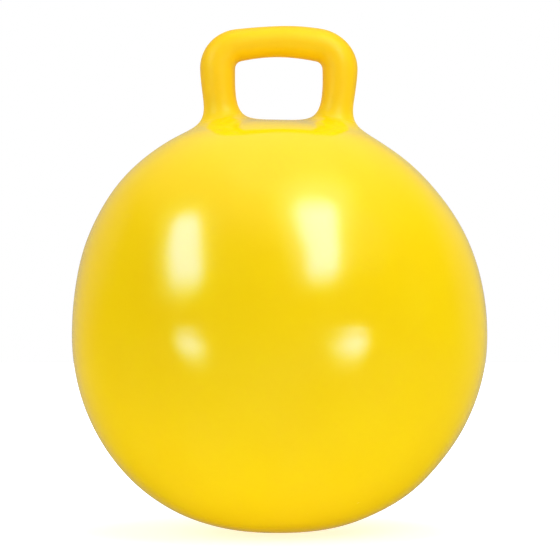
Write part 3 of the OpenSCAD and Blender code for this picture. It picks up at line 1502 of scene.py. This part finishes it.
class Finishes:
    """The finishes of the four slots, built once on shared groups.

    Attributes:
        LOOKS: Finish of each slot.
        materials: Material of each slot.
    """

    LOOKS: dict[Slot, VinylFinish] = {
        Slot.SKIN: BlownFinish("ball vinyl"),
        Slot.HANDLE: BlownFinish("handle vinyl"),
        Slot.VALVE: VinylFinish(
            "valve vinyl",
            tone=(0.90, 0.62, 0.012),
            deep=(0.85, 0.55, 0.008),
            cloud_size=20 * MM,
            gloss=0.24,
            peel_size=1.2 * MM,
        ),
        Slot.PLUG: VinylFinish(
            "plug vinyl",
            tone=(0.84, 0.82, 0.74),
            deep=(0.76, 0.72, 0.60),
            cloud_size=12 * MM,
            gloss=0.3,
            peel_size=0.9 * MM,
            glow=0.3,
        ),
    }

    def __init__(self) -> None:
        """Builds the materials on two shared groups."""
        clouds, gloss = cloud_group(), gloss_group()
        self.materials: dict[Slot, bpy.types.Material] = {
            slot: look.material(clouds, gloss) for slot, look in self.LOOKS.items()
        }

    def put(self, obj: bpy.types.Object, slot: Slot) -> None:
        """Gives a piece the material of its slot.

        Args:
            obj: The piece.
            slot: Its slot.
        """
        obj.data.materials.clear()
        obj.data.materials.append(self.materials[slot])


# ---------------------------------------------------------------------------------------------------------
# Sub-assemblies
# ---------------------------------------------------------------------------------------------------------


def settle(obj: bpy.types.Object, body: Body, *nodes: str) -> None:
    """Lets a piece ride on its body, in place of the named solids.

    Args:
        obj: The piece.
        body: Body that it rides on.
        nodes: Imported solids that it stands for.
    """
    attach(obj, body.value)
    if nodes:
        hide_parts(*nodes)
    LOG.info("%s: %d faces on %s", obj.name, len(obj.data.polygons), body.value)


@dataclass
class InflatedShell:
    """The skin and the handle, with their moulded parting line.

    Attributes:
        form: The surface.
        finishes: The materials.
        ridge_radius: Radius of the parting line's ridge.
        ridge_step: Distance between its points.
        ridge_sides: Number of its sides.
        root_step: How far outside the handle's foot the loop round the ball begins.
        ring_points: Number of rough points along the handle.
        root_points: Number of those that are left out at each root.
        ball_points: Number of rough points round the ball.
        crown_points: Number of rough points across the crown.
    """

    form: InflatedForm
    finishes: Finishes
    ridge_radius: float = 0.4 * MM
    ridge_step: float = 3 * MM
    ridge_sides: int = 8
    root_step: float = 30 * MM
    ring_points: int = 60
    root_points: int = 6
    ball_points: int = 140
    crown_points: int = 12

    def build(self) -> None:
        """Builds the three pieces."""
        shell, in_handle = Cage(self.form).build()
        skin = shell.part(~in_handle).solid("skin")
        self.finishes.put(skin, Slot.SKIN)
        settle(skin, Body.BALL, "ball_skin")
        handle = shell.part(in_handle).solid("handle")
        self.finishes.put(handle, Slot.HANDLE)
        settle(handle, Body.BALL, "handle_ring")
        self.parting_line()

    def guess(self) -> list[list[Vector]]:
        """Roughs out the two loops in which the middle plane cuts the surface.

        Returns:
            The loop outside, and the one inside the ring.
        """
        ball, handle = self.form.ball, self.form.handle
        middle = Vector((0, 0, ball.belt.centre[1]))
        stations = np.linspace(-handle.foot, handle.foot, self.ring_points)
        places = [handle.place(s) for s in stations[self.root_points : -self.root_points]]
        outer, inner = ([place + out * way * handle.tube for place, out in places] for way in (1, -1))
        start = math.atan2(ball.crown - middle.z, outer[-1].x + self.root_step)
        angles = np.linspace(start, -math.pi - start, self.ball_points)
        outer += [middle + Vector((math.cos(a), 0, math.sin(a))) * ball.width / 2 for a in angles]
        across = np.linspace(inner[-1].x, inner[0].x, self.crown_points)[1:-1]
        return [outer, inner + [Vector((x, 0, ball.crown)) for x in across]]

    def even_loop(self, guess: list[Vector]) -> np.ndarray:
        """Draws a rough loop onto the surface.

        Args:
            guess: Points near the loop.

        Returns:
            Evenly spaced points of the loop in the middle plane, clear of the floor.
        """
        closed = np.array(guess + guess[:1])
        lengths = np.concatenate([[0], np.cumsum(np.linalg.norm(np.diff(closed, axis=0), axis=1))])
        at = np.linspace(0, lengths[-1], round(lengths[-1] / self.ridge_step), endpoint=False)
        loop = self.form.project(np.stack([np.interp(at, lengths, closed[:, i]) for i in range(3)], axis=1))
        loop[:, 1] = 0
        loop[:, 2] = np.maximum(loop[:, 2], self.ridge_radius)
        return loop

    def parting_line(self) -> None:
        """Lays the thin ridge of the mould's parting line round the middle plane."""
        points: list[np.ndarray] = []
        edges: list[tuple[int, int]] = []
        for loop in map(self.even_loop, self.guess()):
            start, count = len(points), len(loop)
            points += list(loop)
            edges += [(start + i, start + (i + 1) % count) for i in range(count)]
        path = new_object("parting path", points, edges=edges)
        vinyl = self.finishes.materials[Slot.SKIN]
        values = {"Radius": self.ridge_radius, "Sides": self.ridge_sides, "Material": vinyl}
        ridge = apply_tree(path, ridge_tree(), values, "parting_line")
        places = np.array([v.co for v in ridge.data.vertices])
        put_values(ridge, "warmth", self.form.warmth(places))
        # The ridge takes the painted shade of the handle's sides where it runs over the handle
        put_values(ridge, "edge_shade", self.form.edge_shade(places))
        settle(ridge, Body.BALL)


@dataclass
class Valve:
    """The valve in the back of the ball, and its plug.

    Attributes:
        form: Place and sizes of the valve.
        finishes: The materials.
        segments: Number of steps round the valve's axis.
        sharp_angle: Angle from which an edge is sharp.
        bead_width: Half the width of the welded bead round the disc.
        bead_height: Its height.
        fillet: Radius that softens the edges, and from which the plug's dish is made.
        rib_count: Number of grip ribs on the plug's head.
        rib_radius: Half their width and height.
        rib_length: Half their length.
        rib_inset: How far their middles lie from the head's edge.
    """

    form: ValveForm
    finishes: Finishes
    segments: int = 96
    sharp_angle: float = math.radians(50)
    bead_width: float = 2.2 * MM
    bead_height: float = 0.7 * MM
    fillet: float = 0.4 * MM
    rib_count: int = 20
    rib_radius: float = 0.35 * MM
    rib_length: float = 0.9 * MM
    rib_inset: float = 0.88 * MM

    def build(self) -> None:
        """Builds the body, the plug and the plug's grip ribs."""
        body = self.turn("valve", self.body_outline(), closed=True)
        self.finishes.put(body, Slot.VALVE)
        settle(body, Body.BALL, "valve_body")
        plug = self.turn("plug", self.plug_outline(), closed=False)
        self.finishes.put(plug, Slot.PLUG)
        settle(plug, Body.PLUG, "valve_plug")
        self.ribs()

    def turn(self, name: str, outline: Outline, closed: bool) -> bpy.types.Object:
        """Turns an outline about the valve's axis, with sharp edges only where it really turns.

        Args:
            name: Name of the piece.
            outline: Its outline.
            closed: Whether the outline closes on itself.

        Returns:
            The object.
        """
        obj = turned(name, outline, self.form.matrix(), self.segments, closed)
        obj.data.set_sharp_from_angle(angle=self.sharp_angle)
        return obj

    def dome(self, radius: float) -> float:
        """Gives the height of the upper round above its middle, at a distance from the valve's axis."""
        return math.sqrt(self.form.ball_radius**2 - radius**2)

    def body_outline(self) -> Outline:
        """Outlines half of the valve: bore, seat, disc with its welded bead, and neck.

        Returns:
            Distance from the axis and height of each point.
        """
        f, r = self.form, self.fillet
        well = f.head_radius + f.head_gap
        bottom = self.dome(0) - f.neck_length
        under = self.dome(f.disc_radius) - f.disc_depth
        bead_in, bead_out = f.disc_radius - self.bead_width, f.disc_radius + self.bead_width
        bead = self.dome(f.disc_radius) + self.bead_height
        corners = [
            (f.bore_radius, bottom, r),
            (f.neck_radius, bottom, r),
            (f.neck_radius, under, 2 * r),
            (f.disc_radius, under, r),
            (f.disc_radius, self.dome(f.disc_radius) - r, 0),
            (bead_out, self.dome(bead_out) - r / 4, 0),
            (bead_out - r, bead, 2 * r),
            (bead_in + r, bead, 2 * r),
            (bead_in, self.dome(bead_in), r),
            (well + r, self.dome(well), r),
            (well, self.dome(well) - r, r),
            (well, f.seat, r / 2),
            (f.bore_radius, f.seat, r),
        ]
        return rounded(corners, closed=True)

    def plug_outline(self) -> Outline:
        """Outlines half of the plug: tip, shank with sealing rings, and a head with a shallow dish.

        Returns:
            Distance from the axis and height of each point.
        """
        f, r = self.form, self.fillet
        tip, under = f.seat - f.shank_length, f.seat + f.seat_gap
        top = under + f.head_depth
        corners = [(0.0, tip, 0), (f.shank_radius, tip, 2 * r)]
        pitch, half = f.shank_length / (f.ring_count + 1), f.ring_height / 2
        for number in range(f.ring_count, 0, -1):
            at = f.seat - number * pitch
            low, high = (f.shank_radius, at - half, r / 2), (f.shank_radius, at + half, r / 2)
            corners += [low, (f.ring_radius, at, r), high]
        corners += [
            (f.shank_radius, under, r / 2),
            (f.head_radius, under, r / 2),
            (f.head_radius, top - r / 2, r),
            (f.head_radius - r, top, r),
            (f.head_radius - 4 * r, top, r),
            (f.head_radius - 6 * r, top - r, r),
            (3 * r, top - r, 4 * r),
            (0.0, top - r / 2, 0),
        ]
        return rounded(corners, closed=False)

    def ribs(self) -> None:
        """Sets the grip ribs in a circle on the plug's head."""
        f = self.form
        seed = new_object("rib seed", [(0, 0, 0)])
        values = {
            "Count": self.rib_count,
            "Circle radius": f.head_radius - self.rib_inset,
            "Rib radius": self.rib_radius,
            "Rib length": self.rib_length,
            "Material": self.finishes.materials[Slot.PLUG],
        }
        ribs = apply_tree(seed, rib_tree(), values, "plug_ribs")
        top = f.seat + f.seat_gap + f.head_depth
        ribs.data.transform(f.matrix() @ Matrix.Translation((0, 0, top)))
        settle(ribs, Body.PLUG)


# ---------------------------------------------------------------------------------------------------------
# Studio
# ---------------------------------------------------------------------------------------------------------


@dataclass(frozen=True)
class Mirrored:
    """Bright shape that the ball mirrors, given by how the camera sees it on the ball.

    Attributes:
        name: Name of the shape.
        rows: Height, left and right end of its rows from the top down, in the ball's middle plane, in
            millimetres.
        strength: Its brightness.
        soft: Width of its soft edge, as a share of its own width.
        distance: How far it hangs from the ball.
    """

    name: str
    rows: tuple[tuple[float, float, float], ...]
    strength: float
    soft: float = 0.2
    distance: float = 1.6

    def grid(self, lines: int, steps: int) -> tuple[np.ndarray, np.ndarray]:
        """Spreads a grid over the shape.

        Args:
            lines: Number of rows of points.
            steps: Number of points in a row.

        Returns:
            Points of the middle plane in rows, and the brightness of each.
        """
        v, u = np.meshgrid(np.linspace(0, 1, lines), np.linspace(0, 1, steps), indexing="ij")
        v, u = v.ravel(), u.ravel()
        given = np.linspace(0, 1, len(self.rows))
        up, left, right = (np.interp(v, given, [row[i] for row in self.rows]) * MM for i in range(3))
        fade = smoothstep(0, self.soft, np.minimum(u, 1 - u)) * smoothstep(0, self.soft, np.minimum(v, 1 - v))
        return np.stack([left + (right - left) * u, np.zeros_like(u), up], axis=1), self.strength * fade


@dataclass(frozen=True)
class Lamp:
    """Large soft lamp that lights the vinyl without being mirrored in it.

    Attributes:
        name: Its name.
        place: Where it hangs.
        size: Its width.
        power: Its power in watts.
        tint: Its colour.
    """

    name: str
    place: Place
    size: float
    power: float
    tint: Colour = (1.0, 1.0, 1.0)


@dataclass
class Studio:
    """Floor, dark tent, mirrored soft boxes, lamps and surroundings.

    Attributes:
        form: The ball's surface, which mirrors the boxes.
        eye: Place of the camera.
        tent_radius: Radius of the tent.
        tent_rings: Number of its rings.
        front_glow: Glow of the tent in front.
        top_glow: How much brighter it is above.
        back_glow: How much brighter it is behind.
        top_band: Heights between which the glow above comes in, where the tent's top is 1.
        back_band: Depths between which the glow behind comes in.
        horizon: Heights between which that comes in.
        ambient: Light of the surroundings.
        floor_size: Width of the floor.
        floor_tone: Its grey.
        floor_roughness: Its roughness.
        floor_lift: How much it glows in the picture near the ball, where 1 is white.
        under_glow: How much it really glows away from the ball.
        foot_glow: How much it really glows under the ball.
        foot_reach: Distance at which under_glow is reached.
        fade: Distances between which the floor turns white in the picture.
        full_glow: Glow of a box that counts as full.
        shoulder: How fast the red and green of the boxes' light fall off where they glow less.
        warm_parts: Red and green of that light where they glow fully, against its blue.
        box_lines: Rows of points in a box.
        box_steps: Points in such a row.
        boxes: The shapes that the ball mirrors.
        lamps: The lamps.
        target: Middle of the ball.
        calm: The ball's surface without its waves.
        cloth: Material of the tent.
        veil: Material of the boxes.
    """

    form: InflatedForm
    eye: Vector
    tent_radius: float = 2.2
    tent_rings: int = 48
    front_glow: float = 0.01
    top_glow: float = 0.6
    back_glow: float = 0.36
    top_band: tuple[float, float] = (0.5, 1.0)
    back_band: tuple[float, float] = (0.2, 0.95)
    horizon: tuple[float, float] = (-0.6, 0.0)
    ambient: float = 0.6
    floor_size: float = 12.0
    floor_tone: float = 0.6
    floor_roughness: float = 0.9
    floor_lift: float = 0.62
    under_glow: float = 0.44
    foot_glow: float = 0.74
    foot_reach: float = 0.6
    fade: tuple[float, float] = (0.35, 0.9)
    full_glow: float = 10.0
    shoulder: float = 0.45
    warm_parts: tuple[float, float] = (0.2, 0.53)
    box_lines: int = 25
    box_steps: int = 13
    boxes: tuple[Mirrored, ...] = (
        Mirrored(
            "left box",
            (
                (353, -102, -96),
                (344, -110, -90),
                (335, -115, -87),
                (320, -120, -84),
                (303, -124, -82),
                (284, -123, -80),
                (269, -121, -80),
                (253, -113, -86),
            ),
            10.0,
            soft=0.3,
        ),
        Mirrored(
            "left halo",
            (
                (366, -112, -84),
                (345, -127, -77),
                (320, -134, -72),
                (290, -137, -68),
                (262, -135, -69),
                (240, -120, -80),
            ),
            1.5,
            soft=0.4,
            distance=1.9,
        ),
        Mirrored(
            "right box",
            (
                (371, 22, 43),
                (359, 14, 64),
                (344, 12, 70),
                (322, 15, 71),
                (304, 22, 71),
                (285, 25, 68),
                (272, 29, 64),
                (257, 41, 54),
            ),
            9.7,
            soft=0.3,
        ),
        Mirrored(
            "right halo",
            ((392, 5, 70), (372, -5, 90), (338, -5, 90), (303, 0, 90), (276, 10, 82), (250, 26, 66)),
            2.6,
            soft=0.4,
            distance=1.9,
        ),
        Mirrored(
            "low left box",
            ((227, -112, -85), (215, -119, -75), (204, -119, -72), (193, -115, -76), (183, -106, -81)),
            8.4,
            soft=0.5,
        ),
        Mirrored(
            "low left halo",
            ((216, -118, -73), (196, -117, -68), (166, -105, -75)),
            1.3,
            soft=0.4,
            distance=1.9,
        ),
        Mirrored(
            "low right box",
            ((227, 64, 84), (216, 57, 99), (205, 53, 100), (194, 54, 96), (182, 62, 86)),
            10.0,
            soft=0.5,
        ),
        Mirrored(
            "low right halo",
            ((217, 50, 101), (194, 48, 98), (166, 54, 84)),
            1.3,
            soft=0.4,
            distance=1.9,
        ),
    )
    lamps: tuple[Lamp, ...] = (
        Lamp("key", (1.4, -1.1, 1.9), 1.6, 17.5, (0.97, 1.0, 0.95)),
        Lamp("overhead", (0.1, 0.1, 2.7), 2.0, 35.0, (0.93, 1.0, 0.9)),
        Lamp("fill", (-1.7, -1.1, 1.7), 1.4, 5.4, (1.0, 0.86, 0.8)),
        Lamp("left rim", (-1.76, 1.2, 0.85), 1.2, 12.0, (1.0, 0.95, 0.9)),
        Lamp("right rim", (1.76, 1.2, 0.7), 1.2, 6.5),
    )
    target: Vector = field(init=False)
    calm: InflatedForm = field(init=False)
    cloth: bpy.types.Material = field(init=False)
    veil: bpy.types.Material = field(init=False)

    def __post_init__(self) -> None:
        """Works out the middle, the calm surface and the materials."""
        self.target = Vector((0, 0, self.form.ball.belt.centre[1]))
        self.calm = replace(self.form, wave_height=0.0)
        self.cloth = self.glowing("glowing cloth")
        self.veil = self.glowing("glowing veil", self.full_glow, self.shoulder, self.warm_parts, clear=True)

    def build(self) -> None:
        """Builds everything round the object."""
        self.surroundings()
        self.floor()
        self.tent()
        for box in self.boxes:
            self.mirrored(box)
        for lamp in self.lamps:
            self.lamp(lamp)

    def surroundings(self) -> None:
        """Sets a world that shows white and lights dimly."""
        world = bpy.data.worlds.new("surroundings")
        bpy.context.scene.world = world
        world.use_nodes = True
        nodes = NodeTree(world.node_tree)
        seen = nodes.add("ShaderNodeLightPath").outputs["Is Camera Ray"]
        light = {"Color": (1, 1, 1, 1), "Strength": nodes.remap(seen, end=(self.ambient, 1.0))}
        nodes.set(world.node_tree.nodes["Background"], light)

    def floor(self) -> None:
        """Lays the white floor, which fades into the surroundings away from the ball."""
        half = self.floor_size / 2
        corners = [(-half, -half, 0), (half, -half, 0), (half, half, 0), (-half, half, 0)]
        floor = new_object("floor", corners, [(0, 1, 2, 3)])
        material = bpy.data.materials.new("floor")
        material.use_nodes = True
        nodes = NodeTree(material.node_tree)
        seen = nodes.add("ShaderNodeLightPath").outputs["Is Camera Ray"]
        where = nodes.add("ShaderNodeTexCoord").outputs["Object"]
        away = nodes.add("ShaderNodeVectorMath", {0: where}, operation="LENGTH").outputs["Value"]
        fade = nodes.remap(away, self.fade, (self.floor_lift, 1.0), "SMOOTHSTEP")
        under = nodes.remap(away, (0.0, self.foot_reach), (self.foot_glow, self.under_glow), "SMOOTHSTEP")
        lift = nodes.add("ShaderNodeMix", {"Factor": seen, "A": under, "B": fade}).outputs[0]
        nodes.set(
            material.node_tree.nodes["Principled BSDF"],
            {
                "Base Color": (self.floor_tone, self.floor_tone, self.floor_tone, 1),
                "Roughness": self.floor_roughness,
                "Emission Color": (1, 1, 1, 1),
                "Emission Strength": lift,
            },
        )
        floor.data.materials.append(material)
        floor.visible_glossy = False

    def tent(self) -> None:
        """Hangs the tent, which only reflections show: dark in front, paler above and behind."""
        radius = self.tent_radius
        angles = np.linspace(0, math.pi, self.tent_rings)[1:-1]
        outline = [(radius * math.sin(a), -radius * math.cos(a)) for a in angles]
        outline = [(0.0, -radius), *outline, (0.0, radius)]
        tent = turned("tent", outline, Matrix.Translation(self.target), 2 * self.tent_rings, closed=False)
        towards = (np.array([v.co for v in tent.data.vertices]) - np.array(self.target)) / radius
        glow = self.front_glow + self.top_glow * smoothstep(*self.top_band, towards[:, 2])
        behind = smoothstep(*self.back_band, towards[:, 1])
        glow += self.back_glow * behind * smoothstep(*self.horizon, towards[:, 2])
        self.only_mirrored(tent, glow, self.cloth)

    def mirrored(self, box: Mirrored) -> None:
        """Hangs a bright shape where the ball mirrors it to the camera.

        Args:
            box: The shape.
        """
        lines, steps = self.box_lines, self.box_steps
        seen, glow = box.grid(lines, steps)
        hits, away = self.calm.bounce(self.eye, seen)
        starts = [line * steps + step for line in range(lines - 1) for step in range(steps - 1)]
        faces = [(k, k + 1, k + steps + 1, k + steps) for k in starts]
        self.only_mirrored(new_object(box.name, hits + away * box.distance, faces), glow, self.veil)

    @staticmethod
    def glowing(
        name: str,
        full: float = 1.0,
        shoulder: float = 1.0,
        warm_parts: tuple[float, float] = (1.0, 1.0),
        clear: bool = False,
    ) -> bpy.types.Material:
        """Makes a material that glows as strongly as the mesh's glow attribute says.

        Args:
            name: Name of the material.
            full: The attribute's value where it glows fully.
            shoulder: How fast its red and green fall off where it glows less, against its blue.
            warm_parts: Red and green of its light where it glows fully, against its blue.
            clear: Whether what lies behind it shows through.

        Returns:
            The material.
        """
        material = bpy.data.materials.new(name)
        material.use_nodes = True
        material.node_tree.nodes.clear()
        nodes = NodeTree(material.node_tree)
        blue = nodes.calc("DIVIDE", nodes.stored("glow"), full)
        eased = nodes.calc("POWER", blue, shoulder)
        red, green = (nodes.calc("MULTIPLY", eased, part) for part in warm_parts)
        colour = nodes.add("ShaderNodeCombineColor", {"Red": red, "Green": green, "Blue": blue}).outputs[0]
        light = nodes.add("ShaderNodeEmission", {"Color": colour, "Strength": full})
        if clear:
            behind = nodes.add("ShaderNodeBsdfTransparent")
            light = nodes.add("ShaderNodeAddShader", {0: light.outputs[0], 1: behind.outputs[0]})
        nodes.add("ShaderNodeOutputMaterial", {"Surface": light.outputs[0]})
        return material

    @staticmethod
    def only_mirrored(obj: bpy.types.Object, glow: np.ndarray, material: bpy.types.Material) -> None:
        """Makes an object glow, and leaves it to reflections alone, as part of the stage.

        Args:
            obj: The object.
            glow: Glow of each vertex.
            material: Its material.
        """
        put_values(obj, "glow", glow)
        obj.data.materials.append(material)
        for ray in ("camera", "diffuse", "transmission", "shadow", "volume_scatter"):
            setattr(obj, f"visible_{ray}", False)

    def lamp(self, lamp: Lamp) -> None:
        """Hangs a soft lamp that isn't mirrored.

        Args:
            lamp: The lamp.
        """
        light = bpy.data.lights.new(lamp.name, "AREA")
        light.shape, light.size, light.energy, light.color = "DISK", lamp.size, lamp.power, lamp.tint
        obj = bpy.data.objects.new(lamp.name, light)
        obj.location = lamp.place
        obj.rotation_euler = (self.target - obj.location).to_track_quat("-Z", "Y").to_euler()
        obj.visible_glossy = False
        bpy.context.scene.collection.objects.link(obj)


@dataclass(frozen=True)
class Viewpoint:
    """The photograph's camera: level, in front of the ball.

    Attributes:
        distance: Distance from the ball's axis.
        height: Its height.
        side: How far it stands to the right.
        width_at_ball: Width of the picture in the ball's middle plane.
        sensor: Width of its sensor in millimetres, as the camera's data says it.
    """

    distance: float = 3.0
    height: float = 272.2 * MM
    side: float = 1.0 * MM
    width_at_ball: float = 608.2 * MM
    sensor: float = 36.0

    @property
    def place(self) -> Vector:
        """Where the camera stands."""
        return Vector((self.side, -self.distance, self.height))

    def build(self) -> None:
        """Places the camera."""
        camera = bpy.data.cameras.new("camera")
        camera.sensor_width = self.sensor
        camera.lens = self.sensor * self.distance / self.width_at_ball
        obj = bpy.data.objects.new("camera", camera)
        obj.location = self.place
        obj.rotation_euler = (math.pi / 2, 0, 0)
        bpy.context.scene.collection.objects.link(obj)
        bpy.context.scene.camera = obj


def main() -> None:
    """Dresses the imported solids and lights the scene."""
    logging.basicConfig(level=logging.INFO, format="%(name)s: %(message)s")
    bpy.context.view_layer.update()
    skin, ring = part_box("ball_skin"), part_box("handle_ring")
    ball = BallForm(width=skin[1].x - skin[0].x)
    handle = HandleForm(top=ring[1].z, cap=ball.cap)
    valve = ValveForm(middle=ball.high, ball_radius=ball.round_radius)
    finishes = Finishes()
    form = InflatedForm(ball, handle, valve)
    InflatedShell(form, finishes).build()
    Valve(valve, finishes).build()
    view = Viewpoint()
    Studio(form, view.place).build()
    view.build()
    bpy.context.scene.view_settings.view_transform = "Standard"


if __name__ == "__main__":
    main()
